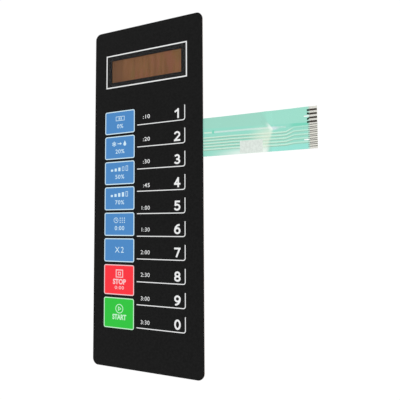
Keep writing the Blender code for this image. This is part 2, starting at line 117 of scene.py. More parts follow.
# Traces, which drift down along the tail and then jog up to the contacts
TRACE_COUNT = 5
TRACE_PITCH = 0.00209
TRACE_FIRST_Y = 0.03795
TRACE_DRIFT = -0.00075
DRIFT_START = 0.068
DRIFT_END = 0.098
JOG_START = 0.1052
JOG_END = 0.1103
TRACE_LIGHT_WIDTH = 0.00085
TRACE_DARK_WIDTH = 0.0006
SHIELD_LINE = ((0.0549, 0.0415), (0.0775, 0.0412), (0.0987, 0.0406), (JOG_START, 0.0404))
SHIELD_LINE_WIDTH = 0.0012
SHIELD_TAB = ((0.0474, 0.0416), (0.0533, 0.0414))
SHIELD_TAB_WIDTH = 0.0010

# Ends and borders of the contacts, and the coat's end over them
STUB_STARTS_Y = (0.0497, 0.0476, 0.0440, 0.0420)
STUB_START = 0.1187
STUB_STRAIGHT = 0.0006
STUB_WIDTH = 0.0013
CONTACT_EDGE_WIDTH = 0.00044
COVERED_EDGE_WIDTH = 0.0004
COVERED_EDGE_LENGTH = 0.0011
THIN_COAT_LENGTH = 0.0014
THIN_COAT_FULL = 0.0002

# The tail's crease, bent at its middle: how far each half leans along X for a step along Y
CREASE_MIDDLE_X = 0.0967
CREASE_MIDDLE_Y = 0.0397
CREASE_LOWER_LEAN = 0.30
CREASE_UPPER_LEAN = -0.70

# The lower side of the plain green over the shield: a place on it and its slope
SHIELD_SIDE_X = 0.0488
SHIELD_SIDE_Y = 0.0447
SHIELD_SIDE_SLOPE = -0.0407


def linear(*colour):
    """An sRGB colour of 0 to 255 as the linear one that a shader takes."""
    parts = [value / 255 for value in colour]
    return tuple(part / 12.92 if part <= 0.04045 else ((part + 0.055) / 1.055) ** 2.4 for part in parts)


# Colours, written as a photograph shows them
BLACK = linear(29, 29, 29)
WHITE = linear(240, 241, 241)
BLUE = linear(79, 140, 201)
RED = linear(255, 55, 66)
GREEN = linear(51, 200, 66)
BLUISH_WHITE = linear(213, 240, 254)
PINKISH_WHITE = linear(252, 205, 207)
GREENISH_WHITE = linear(200, 248, 208)
MINT_UPPER = linear(158, 216, 198)
# Painted light: the coat's upper band past the crease, lighter where the light falls brighter on it
MINT_UPPER_PAINTED_LIGHT = linear(158, 222, 203)
MINT_LOWER = linear(150, 219, 200)
MINT_CORNER = linear(152, 226, 212)
TEAL = linear(120, 212, 186)
TRACE_CREAM = linear(204, 234, 216)
# Painted shadow along each raised trace
TRACE_PAINTED_SHADOW = linear(146, 191, 171)
TRACE_FAINT = linear(200, 238, 219)
# Painted shadow along each raised trace, fainter past the crease
TRACE_FAINT_PAINTED_SHADOW = linear(154, 195, 176)
SHIELD_GREY = linear(200, 229, 221)
SHIELD_FAINT = linear(178, 224, 211)
# Painted highlights: the glare of light on the bent coat by the crease and along the tail's lower edge,
# with a lilac sheen just past the crease
PAINTED_HIGHLIGHT_CREAM = linear(238, 246, 226)
PAINTED_HIGHLIGHT_WHITE = linear(252, 254, 250)
PAINTED_SHEEN_LILAC = linear(212, 226, 232)
THIN_COAT = linear(198, 214, 202)
BARE_FILM = linear(231, 230, 220)
CONTACT_EDGE = linear(52, 45, 36)
COVERED_EDGE = linear(112, 142, 128)
CARBON_BLACK = linear(58, 52, 46)
COVERED_CARBON = linear(34, 52, 45)
LABEL_WHITE = linear(220, 229, 222)

# Colours, written as the linear values that a shader takes
SMOKED_FILM = (0.022, 0.022, 0.0225)
CLEAR_FILM = (0.89, 0.88, 0.82)
# Painted shade: the clear film where it is bonded between the dark films and little light reaches it
BONDED_FILM_PAINTED_SHADE = (0.03, 0.03, 0.03)
WHITE_FILM = (0.86, 0.86, 0.82)
ADHESIVE = (0.020, 0.0195, 0.019)
KRAFT_BROWN = (0.540, 0.244, 0.105)
KRAFT_WARM = (0.58, 0.225, 0.124)
KRAFT_GREEN = (0.46, 0.255, 0.093)
# Painted shade: the paper's left end, shaded by the window's edge
KRAFT_PAINTED_SHADE = (0.335, 0.162, 0.078)


# Steps of a material

def surface(name, colour, roughness, specular, alpha=1.0, metallic=0.0):
    look = bpy.data.materials.new(name)
    look.use_nodes = True
    shader = look.node_tree.nodes["Principled BSDF"]
    shader.inputs["Base Color"].default_value = (*colour, 1.0)
    shader.inputs["Roughness"].default_value = roughness
    shader.inputs["Specular IOR Level"].default_value = specular
    shader.inputs["Alpha"].default_value = alpha
    shader.inputs["Metallic"].default_value = metallic
    return look


def shader_input(look, name):
    return look.node_tree.nodes["Principled BSDF"].inputs[name]


def connect(look, source, target):
    look.node_tree.links.new(source, target)


def place_of(look):
    """A place on the surface in the model's frame, which every piece's own coordinates share."""
    return look.node_tree.nodes.new("ShaderNodeTexCoord").outputs["Object"]


def x_and_y(look):
    """The X and Y of a place on the surface."""
    apart = look.node_tree.nodes.new("ShaderNodeSeparateXYZ")
    connect(look, place_of(look), apart.inputs["Vector"])
    return apart.outputs["X"], apart.outputs["Y"]


def noise(look, scale, detail=2.0, stretch=(1.0, 1.0, 1.0)):
    """Noise with this many cells to a metre."""
    mapping = look.node_tree.nodes.new("ShaderNodeMapping")
    mapping.inputs["Scale"].default_value = stretch
    texture = look.node_tree.nodes.new("ShaderNodeTexNoise")
    texture.inputs["Scale"].default_value = scale
    texture.inputs["Detail"].default_value = detail
    connect(look, place_of(look), mapping.inputs["Vector"])
    connect(look, mapping.outputs["Vector"], texture.inputs["Vector"])
    return texture.outputs["Fac"]


def calculate(look, operation, *values):
    """A step of arithmetic on sockets and numbers."""
    step = look.node_tree.nodes.new("ShaderNodeMath")
    step.operation = operation
    for socket, value in zip(step.inputs, values):
        if isinstance(value, bpy.types.NodeSocket):
            connect(look, value, socket)
        else:
            socket.default_value = value
    return step.outputs[0]


def product(look, *values):
    result = values[0]
    for value in values[1:]:
        result = calculate(look, "MULTIPLY", result, value)
    return result


def slanted(look, value, slope, through):
    """What a straight line gives at a value, from its slope and a point that it goes through."""
    at, result = through
    return calculate(look, "MULTIPLY_ADD", value, slope, result - slope * at)


def fade(look, value, start, end):
    """0 at the start, 1 at the end and smooth between them, whichever of the two is larger."""
    step = look.node_tree.nodes.new("ShaderNodeMapRange")
    step.interpolation_type = "SMOOTHSTEP"
    step.inputs["From Min"].default_value = start
    step.inputs["From Max"].default_value = end
    connect(look, value, step.inputs["Value"])
    return step.outputs["Result"]


def fade_between(look, value, start, end, low, high):
    """The low number at the start, the high one at the end and smooth between them."""
    return calculate(look, "MULTIPLY_ADD", fade(look, value, start, end), high - low, low)


def mix(look, factor, first, second):
    """A colour between two others, each a socket or a linear colour."""
    step = look.node_tree.nodes.new("ShaderNodeMixRGB")
    connect(look, factor, step.inputs["Fac"])
    for socket, colour in ((step.inputs["Color1"], first), (step.inputs["Color2"], second)):
        if isinstance(colour, bpy.types.NodeSocket):
            connect(look, colour, socket)
        else:
            socket.default_value = (*colour, 1.0)
    return step.outputs["Color"]


def paint(look, under, over, *edges, strength=1.0):
    """One colour laid over another. An edge is a value, where the paint starts and where it is full."""
    inside = [fade(look, *edge) for edge in edges]
    return mix(look, product(look, *inside, strength), under, over)


def clouds(look, scale, detail=2.0):
    """The edge of soft, cloudy patches of paint."""
    return noise(look, scale, detail), 0.3, 0.7


def shade(colour, share):
    return tuple(share * part for part in colour)


def colour_with(look, colour):
    """Takes the surface's colour from a socket."""
    connect(look, colour, shader_input(look, "Base Color"))


def mottle(look, colour, spread, scale, detail=3.0):
    """Lets the colour vary by this share to either side."""
    darker = shade(colour, 1 - spread)
    lighter = shade(colour, 1 + spread)
    colour_with(look, paint(look, darker, lighter, clouds(look, scale, detail)))


def relief(look, height, scale, detail=2.0, stretch=(1.0, 1.0, 1.0)):
    """Bumps of this height, added over any bumps before them."""
    bump = look.node_tree.nodes.new("ShaderNodeBump")
    bump.inputs["Distance"].default_value = height
    connect(look, noise(look, scale, detail, stretch), bump.inputs["Height"])
    normal = shader_input(look, "Normal")
    if normal.is_linked:
        connect(look, normal.links[0].from_socket, bump.inputs["Normal"])
    connect(look, bump.outputs["Normal"], normal)


def uneven_gloss(look, roughness, spread, scale):
    """Lets the roughness vary by this much to either side."""
    step = look.node_tree.nodes.new("ShaderNodeMapRange")
    step.inputs["To Min"].default_value = roughness - spread
    step.inputs["To Max"].default_value = roughness + spread
    connect(look, noise(look, scale), step.inputs["Value"])
    connect(look, step.outputs["Result"], shader_input(look, "Roughness"))


# Materials of the panel

def face_surface(name, colour, specular):
    """A surface with the fine velvet grain that runs over the whole face, film and print alike."""
    roughness = 0.55
    look = surface(name, colour, roughness, specular)
    uneven_gloss(look, roughness, spread=0.08, scale=700)
    relief(look, height=0.000012, scale=5200, detail=1.0)
    relief(look, height=0.00003, scale=900, detail=1.0)
    return look


def make_black_film():
    """Black film, whose own colour is darker than it looks, because its surface reflects light too."""
    colour = shade(BLACK, share=0.46)
    look = face_surface("black_film", colour, specular=0.08)
    mottle(look, colour, spread=0.30, scale=650)
    return look


def make_ink(name, colour):
    look = face_surface(name, colour, specular=0.12)
    mottle(look, colour, spread=0.025, scale=1800)
    return look


def make_smoked_film():
    roughness = 0.35
    look = surface("smoked_film", SMOKED_FILM, roughness, specular=0.10, alpha=0.22)
    uneven_gloss(look, roughness, spread=0.06, scale=300)
    relief(look, height=0.000008, scale=2500)
    return look


def make_kraft_paper():
    """Brown paper in streaks along the panel, warmer and greener by turns, with painted shade darkening its
    left end.
    """
    look = surface("kraft_paper", KRAFT_BROWN, roughness=0.75, specular=0.15)
    x, _ = x_and_y(look)
    fibres = (noise(look, scale=330, detail=3.0, stretch=(1.0, 0.12, 1.0)), 0.32, 0.68)
    darker = shade(KRAFT_BROWN, share=0.84)
    lighter = shade(KRAFT_BROWN, share=1.13)
    colour = paint(look, darker, lighter, fibres)
    reddish = (noise(look, scale=170, stretch=(1.0, 0.25, 1.0)), 0.48, 0.66)
    colour = paint(look, colour, KRAFT_WARM, reddish, strength=0.8)
    greenish = (noise(look, scale=130, stretch=(1.0, 0.30, 1.0)), 0.52, 0.70)
    colour = paint(look, colour, KRAFT_GREEN, greenish, strength=0.8)
    # Painted shade: the paper darker toward its left end, for the shade cast by the window's edge
    shaded_left_end = (x, -0.0150, -0.0290)
    colour_with(look, paint(look, colour, KRAFT_PAINTED_SHADE, shaded_left_end, strength=0.75))
    relief(look, height=0.00001, scale=1500, detail=4.0, stretch=(1.0, 0.2, 1.0))
    return look


def make_adhesive():
    look = surface("dark_adhesive", ADHESIVE, roughness=0.6, specular=0.15)
    mottle(look, ADHESIVE, spread=0.35, scale=400)
    relief(look, height=0.00001, scale=1500)
    return look


# Materials of the tail

def make_clear_film():
    """Clear film with painted shade: dark where it is bonded between the dark adhesives and little light
    reaches into it.
    """
    roughness = 0.25
    look = surface("clear_film", CLEAR_FILM, roughness, specular=0.4, alpha=0.45)
    x, _ = x_and_y(look)
    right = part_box("graphic_overlay")[1].x
    # Painted shade: dark over the panel, fading out just past its right edge
    bonded = (x, right + 0.0003, right + 0.0001)
    colour_with(look, paint(look, CLEAR_FILM, BONDED_FILM_PAINTED_SHADE, bonded))
    relief(look, height=0.000004, scale=1200)
    uneven_gloss(look, roughness, spread=0.05, scale=400)
    return look


def make_white_film():
    look = surface("white_film", WHITE_FILM, roughness=0.4, specular=0.3)
    mottle(look, WHITE_FILM, spread=0.02, scale=900)
    relief(look, height=0.000004, scale=1500)
    return look


def make_label_paper():
    look = surface("label_paper", LABEL_WHITE, roughness=0.7, specular=0.2)
    mottle(look, LABEL_WHITE, spread=0.06, scale=700, detail=5.0)
    relief(look, height=0.000012, scale=2200, detail=4.0)
    return look


def make_silver_ink():
    look = surface("silver_ink", BARE_FILM, roughness=0.45, specular=0.4, metallic=0.15)
    mottle(look, BARE_FILM, spread=0.05, scale=2500)
    relief(look, height=0.000006, scale=4000)
    return look


def make_carbon_ink(name, colour):
    look = surface(name, colour, roughness=0.6, specular=0.2)
    mottle(look, colour, spread=0.15, scale=2500)
    relief(look, height=0.000008, scale=4000)
    return look


def crease_distance(look, x, y):
    """How far left of the tail's crease a place lies."""
    lower = slanted(look, y, CREASE_LOWER_LEAN, (CREASE_MIDDLE_Y, CREASE_MIDDLE_X))
    upper = slanted(look, y, CREASE_UPPER_LEAN, (CREASE_MIDDLE_Y, CREASE_MIDDLE_X))
    return calculate(look, "SUBTRACT", calculate(look, "MINIMUM", lower, upper), x)


def paint_crease_highlight(look, colour):
    """Paints highlights on the coat: the glare of light beside the crease, where the bent film faces the
    light, a lilac sheen just past it, and glare along the lower edge.
    """
    x, y = x_and_y(look)
    left = crease_distance(look, x, y)

    sharpness = fade_between(look, y, 0.0260, 0.0340, low=0.3, high=1.0)
    from_crease = (product(look, left, sharpness), -0.0010, 0.0013)
    far_left = (left, 0.019, 0.002)
    below_shield = (y, 0.0440, 0.0380)
    colour = paint(look, colour, PAINTED_HIGHLIGHT_CREAM, from_crease, far_left, below_shield, strength=0.58)

    from_bend = (left, -0.0003, 0.0004)
    close_left = (left, 0.0034, 0.0005)
    bend_top = (y, 0.0455, 0.0402)
    bend_foot = (y, 0.0380, 0.0400)
    colour = paint(look, colour, PAINTED_HIGHLIGHT_WHITE, from_bend, close_left, bend_top, bend_foot, strength=0.7)

    far_right = (left, -0.0050, -0.0010)
    lilac_top = (y, 0.0420, 0.0405)
    past_bend = (left, 0.0004, -0.0004)
    lilac_foot = (y, 0.0385, 0.0398)
    colour = paint(look, colour, PAINTED_SHEEN_LILAC, far_right, lilac_top, past_bend, lilac_foot, strength=0.8)

    from_panel = (x, 0.047, 0.078)
    up_to_crease = (left, -0.0022, 0.0010)
    lower_edge = (y, 0.0305, 0.0252)
    return paint(look, colour, PAINTED_HIGHLIGHT_WHITE, from_panel, up_to_crease, lower_edge, strength=0.7)


def thin_out(look, colour):
    """Lets the end of the coat pale toward the bare contacts."""
    x, _ = x_and_y(look)
    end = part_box("tail_insulation")[1].x
    thin_end = (x, end - THIN_COAT_LENGTH, end - THIN_COAT_FULL)
    return paint(look, colour, THIN_COAT, thin_end, strength=0.8)


def make_green_insulation():
    """Green coat, plain over the shield and more watery over the traces, with painted light past the crease
    and painted highlights beside it.
    """
    roughness = 0.35
    look = surface("green_insulation", MINT_LOWER, roughness, specular=0.25)
    x, y = x_and_y(look)

    # Painted light: the upper band past the crease is lighter, where the light falls brighter on that half
    # of the bent tail
    past_crease = (crease_distance(look, x, y), 0.001, -0.001)
    upper = paint(look, MINT_UPPER, MINT_UPPER_PAINTED_LIGHT, past_crease)

    lower_side = (y, 0.030, 0.027)
    right_side = (x, 0.092, 0.097)
    lower = paint(look, MINT_LOWER, MINT_CORNER, lower_side, right_side)
    past_jog = (x, 0.106, 0.111)
    above_traces = (y, 0.0398, 0.0405)
    lower = paint(look, lower, TEAL, past_jog, above_traces)

    shield_side = slanted(look, x, SHIELD_SIDE_SLOPE, (SHIELD_SIDE_X, SHIELD_SIDE_Y))
    over_shield = (calculate(look, "SUBTRACT", y, shield_side), -0.0004, 0.0003)
    colour = paint(look, lower, upper, over_shield)

    gap_left = (x, 0.0533, 0.0538)
    gap_right = (x, 0.0554, 0.0549)
    gap_foot = (y, 0.0402, 0.0408)
    gap_top = (y, 0.0432, 0.0426)
    colour = paint(look, colour, TEAL, gap_left, gap_right, gap_foot, gap_top)

    colour = paint(look, colour, MINT_CORNER, clouds(look, 160), strength=0.06)
    # Painted highlights by the crease and along the lower edge, then the pale thin end of the coat
    colour_with(look, thin_out(look, paint_crease_highlight(look, colour)))
    relief(look, height=0.000004, scale=2600)
    relief(look, height=0.00006, scale=90)
    uneven_gloss(look, roughness, spread=0.05, scale=400)
    return look


def make_trace_look(name, colour, faint):
    """A trace under the coat, fainter past the crease, more so past the jog and most above it."""
    look = surface(name, colour, roughness=0.4, specular=0.25)
    x, y = x_and_y(look)
    past_crease = (x, 0.093, 0.098)
    varied = paint(look, colour, faint, past_crease)
    varied = paint(look, varied, MINT_LOWER, clouds(look, 700, 3.0), strength=0.12)
    past_jog = (x, 0.1065, 0.1110)
    faintness = fade_between(look, y, 0.0382, 0.0388, low=0.3, high=0.7)
    varied = paint(look, varied, MINT_LOWER, past_jog, strength=faintness)
    # Painted highlights by the crease and along the lower edge, then the pale thin end of the coat
    colour_with(look, thin_out(look, paint_crease_highlight(look, varied)))
    relief(look, height=0.000004, scale=2600)
    return look


# Steps of a piece

def top_of(node):
    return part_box(node)[1].z


def middle_of(node):
    low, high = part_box(node)
    return (low + high) / 2


def dress(names, look):
    """Gives these CAD nodes their finish."""
    for name in names:
        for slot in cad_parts[name].material_slots:
            slot.material = look


def add_object(name, data):
    """An object of the scene with this mesh, curve, text, lamp or camera."""
    made = bpy.data.objects.new(name, data)
    bpy.context.scene.collection.objects.link(made)
    return made


def add_piece(name, mesh, look):
    mesh.materials.clear()
    mesh.materials.append(look)
    piece = add_object(name, mesh)
    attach(piece, "root")


def mesh_of(curve):
    """A curve or text as a mesh, in its own coordinates."""
    holder = add_object(curve.name, curve)
    bpy.context.view_layer.update()
    graph = bpy.context.evaluated_depsgraph_get()
    mesh = bpy.data.meshes.new_from_object(holder.evaluated_get(graph))
    bpy.data.objects.remove(holder, do_unlink=True)
    return mesh


def extent(mesh):
    places = np.array([vertex.co for vertex in mesh.vertices])
    return places.min(axis=0), places.max(axis=0)


def printed_at(place):
    """The move that takes print from the origin to a place on a face."""
    x, y, face = place
    return Matrix.Translation((x, y, face + PRINT_RISE - PRINT_DEPTH / 2))


def lettering(
    name, text, place, look, height,
    width=LETTER_WIDTH, weight=0.0, spacing=LETTER_SPACING, right_aligned=False,
):
    """Printed characters, their place the middle of the line or its right end."""
    curve = bpy.data.curves.new(name, "FONT")
    curve.body = text
    curve.offset = weight
    curve.space_character = spacing
    curve.extrude = PRINT_DEPTH / 2
    curve.resolution_u = LETTER_CURVE_STEPS
    mesh = mesh_of(curve)
    low, high = extent(mesh)
    scale = height / (high[1] - low[1])
    anchor_x = high[0] if right_aligned else (low[0] + high[0]) / 2
    anchor = Vector((anchor_x, (low[1] + high[1]) / 2, 0.0))
    size = Matrix.Diagonal((scale * width, scale, 1.0, 1.0))
    mesh.transform(printed_at(place) @ size @ Matrix.Translation(-anchor))
    add_piece(name, mesh, look)


def word(name, text, place, look, width):
    """A large word in bold type, its place the middle."""
    lettering(name, text, place, look, WORD_HEIGHT, width=width, weight=WORD_WEIGHT, spacing=WORD_SPACING)


def symbol(name, outlines, place, look):
    """A printed sign cut to its outlines: each that lies inside another is a hole in it."""
    curve = bpy.data.curves.new(name, "CURVE")
    curve.dimensions = "2D"
    curve.fill_mode = "BOTH"
    curve.extrude = PRINT_DEPTH / 2
    for outline in outlines:
        spline = curve.splines.new("POLY")
        spline.points.add(len(outline) - 1)
        for point, (x, y) in zip(spline.points, outline):
            point.co = (x, y, 0.0, 1.0)
        spline.use_cyclic_u = True
    mesh = mesh_of(curve)
    mesh.transform(printed_at(place))
    add_piece(name, mesh, look)


# Signs on the keys, each as outlines round the origin

def box_outline(width, height, centre=(0.0, 0.0)):
    x, y = centre
    return [
        (x + side_x * width / 2, y + side_y * height / 2)
        for side_x, side_y in ((-1, -1), (1, -1), (1, 1), (-1, 1))
    ]


def frame_outlines(width, height, line, centre=(0.0, 0.0)):
    """A rectangular frame as two outlines, its outside and its inside."""
    outside = box_outline(width, height, centre)
    inside = box_outline(width - 2 * line, height - 2 * line, centre)
    return [outside, inside]


def arc(radius, start, end, steps=24):
    """Points round the origin, the angles in degrees."""
    angles = np.radians(np.linspace(start, end, steps + 1))
    return [(radius * math.cos(angle), radius * math.sin(angle)) for angle in angles]


def circle(radius):
    return arc(radius, 0, 350, steps=35)


def ring(outer, inner):
    """A ring as two outlines, of these radii."""
    return [circle(outer), circle(inner)]


def moved(outline, x, y):
    return [(x + point_x, y + point_y) for point_x, point_y in outline]


def turned(outline, degrees):
    angle = math.radians(degrees)
    cosine = math.cos(angle)
    sine = math.sin(angle)
    return [(x * cosine - y * sine, x * sine + y * cosine) for x, y in outline]


def pause_sign():
    """Two bars in a frame."""
    aside = 0.0009
    bars = [box_outline(width=0.0008, height=0.0018, centre=(side * aside, 0.0)) for side in (-1, 1)]
    return frame_outlines(width=0.0080, height=0.0035, line=0.00042) + bars


def snowflake_outline():
    """Six arms, each with a pair of twigs."""
    half = 0.00021
    reach = 0.0021
    fork = 0.00125
    twig = 0.00042
    twig_x = twig * 0.5
    twig_y = twig * 0.87
    upper_side = [
        (half * math.sqrt(3), half),
        (fork - half, half),
        (fork - half + twig_x, half + twig_y),
        (fork + half + twig_x, half + twig_y),
        (fork + half, half),
        (reach, half),
    ]
    lower_side = [(x, -y) for x, y in upper_side]
    arm = lower_side[1:] + upper_side[::-1]
    outline = []
    for turn in range(6):
        outline += turned(arm, 60 * turn + 30)
    return outline


def arrow_outline():
    half = 0.00030
    barb = 0.0011
    start = -0.0019
    neck = 0.0005
    tip = 0.0020
    lower_side = [(start, -half), (neck, -half), (neck, -barb)]
    upper_side = [(neck, barb), (neck, half), (start, half)]
    return lower_side + [(tip, 0.0)] + upper_side


def drop_outline():
    """A round drop with a point on top."""
    radius = 0.0013
    sink = -0.0006
    point = (0.0, 0.0022)
    return [point] + moved(arc(radius, 150, 390), 0.0, sink)


def thaw_sign():
    """A snowflake, an arrow and a drop."""
    flake_x = -0.0050
    drop_x = 0.0048
    return [moved(snowflake_outline(), flake_x, 0.0), arrow_outline(), moved(drop_outline(), drop_x, 0.0)]


def level_sign(level):
    """Five rising bars: as many as the level are filled, and the others are hollow."""
    count = 5
    width = 0.0020
    pitch = 0.0034
    foot = -0.0020
    lowest = 0.0016
    rise = 0.0006
    line = 0.00038
    outlines = []
    for bar in range(count):
        height = lowest + rise * bar
        centre = (pitch * (bar - count // 2), height / 2 + foot)
        if bar < level:
            outlines.append(box_outline(width, height, centre))
        else:
            outlines += frame_outlines(width, height, line, centre)
    return outlines


def clock_sign():
    """A round dial with two hands, beside the pads to set it with."""
    dial_x = -0.0032
    half = 0.00022
    right = 0.0010
    top = 0.0013
    hands = [(-half, -half), (right, -half), (right, half), (half, half), (half, top), (-half, top)]
    dial = ring(outer=0.0021, inner=0.0017) + [hands]
    first_column = 0.0006
    column_pitch = 0.0019
    row_pitch = 0.0016
    pad = 0.0008
    places = [
        (first_column + column_pitch * column, row_pitch * row)
        for column in range(3)
        for row in (-1, 0, 1)
    ]
    pads = [box_outline(pad, pad, place) for place in places]
    return [moved(outline, dial_x, 0.0) for outline in dial] + pads


def stop_sign():
    """A square round a small square, both as frames."""
    outer = frame_outlines(width=0.0066, height=0.0061, line=0.00072)
    inner = frame_outlines(width=0.0027, height=0.0027, line=0.0006)
    return outer + inner


def start_sign():
    """A ring round a triangle, which is hollow too."""
    triangle = [(-0.0011, -0.0018), (0.0019, 0.0), (-0.0011, 0.0018)]
    hollow = [(-0.0005, -0.0009), (0.0009, 0.0), (-0.0005, 0.0009)]
    return ring(outer=0.0035, inner=0.0029) + [triangle, hollow]


# Print on the face

def print_times(look):
    """The time beside each number key, above the line of the key's bracket."""
    face = top_of("graphic_overlay")
    for number, (text, shift) in enumerate(TIMES, 1):
        digit = number % len(TIMES)
        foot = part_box(f"bracket_{digit}")[0].y
        place = (TIME_RIGHT, foot + TIME_ABOVE_LINE + TIME_HEIGHT / 2 + shift, face)
        form = SHORT_TIME if text.startswith(":") else LONG_TIME
        lettering(f"time_{digit}", text, place, look, TIME_HEIGHT, right_aligned=True, **form)


def on_key(number, aside, above):
    """A place on a coloured key's face, this far to the right of its middle and above it."""
    field = f"key_field_{number}"
    centre = middle_of(field)
    return centre.x + aside, centre.y + above, top_of(field)


def print_legends(bluish, pinkish, greenish):
    """The signs, words and numbers on the coloured keys, a little to the side of each key's middle."""
    legends = (
        (pause_sign(), 0.0, 0.0, "0%"),
        (thaw_sign(), -0.0004, 0.0, "20%"),
        (level_sign(3), -0.0004, 0.0003, "50%"),
        (level_sign(4), -0.0004, 0.0003, "70%"),
        (clock_sign(), 0.0, 0.0, "0:00"),
    )
    for number, (sign, aside, above, text) in enumerate(legends, 1):
        place = on_key(number, LEGEND_SHIFT + aside, LEGEND_SPREAD + above)
        symbol(f"key_{number}_sign", sign, place, bluish)
        place = on_key(number, LEGEND_SHIFT, -LEGEND_SPREAD)
        lettering(f"key_{number}_legend", text, place, bluish, LEGEND_HEIGHT, weight=LEGEND_WEIGHT)

    place = on_key(DOUBLE_KEY, LEGEND_SHIFT, above=0.0003)
    lettering(f"key_{DOUBLE_KEY}_legend", "X2", place, bluish, height=0.0044, width=0.95, spacing=1.3)

    key = f"key_{STOP_KEY}"
    symbol(f"{key}_sign", stop_sign(), on_key(STOP_KEY, STOP_SHIFT, above=0.0047), pinkish)
    word(f"{key}_legend", "STOP", on_key(STOP_KEY, STOP_SHIFT, above=-0.0014), pinkish, width=0.92)
    place = on_key(STOP_KEY, STOP_SHIFT, above=-0.0059)
    lettering(f"{key}_lower_legend", "0:00", place, pinkish, height=0.0025, width=1.3, weight=LEGEND_WEIGHT)

    key = f"key_{START_KEY}"
    symbol(f"{key}_sign", start_sign(), on_key(START_KEY, START_SHIFT, above=0.0033), greenish)
    word(f"{key}_legend", "START", on_key(START_KEY, START_SHIFT, above=-0.0029), greenish, width=0.80)


# Print on the tail

def tail_surface():
    """The tail's upper face, to lay print on."""
    editor = bmesh.new()
    for name in ("tail_insulation", "lower_circuit"):
        editor.from_mesh(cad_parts[name].data)
    tail = BVHTree.FromBMesh(editor)
    editor.free()
    return tail


def point_on(tail, x, y):
    """The tail's upper face at this place, or None over a slot."""
    return tail.ray_cast(Vector((x, y, RAY_START)), Vector((0.0, 0.0, -1.0)))[0]


def along(path, step):
    """Points at an even step along a path, with its own points kept."""
    points = [Vector(path[0])]
    for start, end in zip(path, path[1:]):
        start = Vector(start)
        end = Vector(end)
        count = max(round((end - start).length / step), 1)
        points += [start.lerp(end, number / count) for number in range(1, count + 1)]
    return points


def ribbon(name, path, low, high, look, tail):
    """A low ridge laid on the tail between two distances to the side of a path. A slot ends it."""
    bevel = min(RIDGE_BEVEL, (high - low) / 4)
    offsets = (low, low + bevel, high - bevel, high)
    rises = (RIDGE_RISE * RIDGE_SIDE_SHARE, RIDGE_RISE, RIDGE_RISE, RIDGE_RISE * RIDGE_SIDE_SHARE)
    editor = bmesh.new()
    rows = []
    for point in along(path, RIDGE_STEP):
        feet = [point_on(tail, point.x, point.y + offset) for offset in offsets]
        if None in feet:
            break
        tops = [foot + Vector((0.0, 0.0, rise)) for foot, rise in zip(feet, rises)]
        rows.append([editor.verts.new(top) for top in tops])
    for before, after in zip(rows, rows[1:]):
        for side in range(len(offsets) - 1):
            editor.faces.new((before[side], after[side], after[side + 1], before[side + 1]))
    for face in editor.faces:
        face.smooth = True
    mesh = bpy.data.meshes.new(name)
    editor.to_mesh(mesh)
    editor.free()
    add_piece(name, mesh, look)


def lay_traces(tail):
    """The shield's line and tab, and the traces from the panel to the silver contacts, under the coat, each
    trace with a painted shadow along its lower side.
    """
    cream = make_trace_look("trace_cream", TRACE_CREAM, TRACE_FAINT)
    dark = make_trace_look("trace_painted_shadow", TRACE_PAINTED_SHADOW, TRACE_FAINT_PAINTED_SHADOW)
    grey = make_trace_look("shield_grey", SHIELD_GREY, SHIELD_FAINT)
    low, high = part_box("tail_insulation")
    start = low.x + RIDGE_MARGIN
    light_end = high.x - RIDGE_MARGIN
    dark_end = high.x - COVERED_EDGE_LENGTH - RIDGE_MARGIN
    half = TRACE_LIGHT_WIDTH / 2
    for number, contact in enumerate(SILVER_CONTACTS[:TRACE_COUNT]):
        y = TRACE_FIRST_Y - TRACE_PITCH * number
        drifted = y + TRACE_DRIFT
        target = middle_of(f"silver_contact_{contact}").y
        path = [
            (start, y),
            (DRIFT_START, y),
            (DRIFT_END, drifted),
            (JOG_START, drifted),
            (JOG_END, target),
        ]
        light_path = path + [(light_end, target)]
        dark_path = path + [(dark_end, target)]
        ribbon(f"trace_{contact}", light_path, -half, half, cream, tail)
        # Painted shadow: a dark strip along the lower side of each raised trace
        ribbon(f"trace_{contact}_side", dark_path, -half - TRACE_DARK_WIDTH, -half, dark, tail)

    ribbon("shield_line", SHIELD_LINE, -SHIELD_LINE_WIDTH / 2, SHIELD_LINE_WIDTH / 2, grey, tail)
    ribbon("shield_tab", SHIELD_TAB, -SHIELD_TAB_WIDTH / 2, SHIELD_TAB_WIDTH / 2, cream, tail)


def lay_carbon_stubs(tail):
    """The ends of the carbon contacts, seen dark through the green coat."""
    look = make_carbon_ink("covered_carbon", COVERED_CARBON)
    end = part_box("tail_insulation")[1].x - RIDGE_MARGIN
    half = STUB_WIDTH / 2
    for contact, y in zip(CARBON_CONTACTS, STUB_STARTS_Y):
        target = middle_of(f"carbon_contact_{contact}").y
        path = [(STUB_START, y), (STUB_START + STUB_STRAIGHT, y), (end, target)]
        ribbon(f"carbon_stub_{contact}", path, -half, half, look, tail)


def lay_covered_edges(tail):
    """The dark borders of the silver contacts, seen through the thin end of the green coat."""
    look = make_carbon_ink("covered_edge", COVERED_EDGE)
    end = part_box("tail_insulation")[1].x
    width = COVERED_EDGE_WIDTH
    for contact in SILVER_CONTACTS:
        low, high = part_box(f"silver_contact_{contact}")
        for side, y, start, stop in (("low", low.y, -width, 0.0), ("high", high.y, 0.0, width)):
            path = [(end - COVERED_EDGE_LENGTH, y), (end - RIDGE_MARGIN, y)]
            ribbon(f"covered_edge_{contact}_{side}", path, start, stop, look, tail)


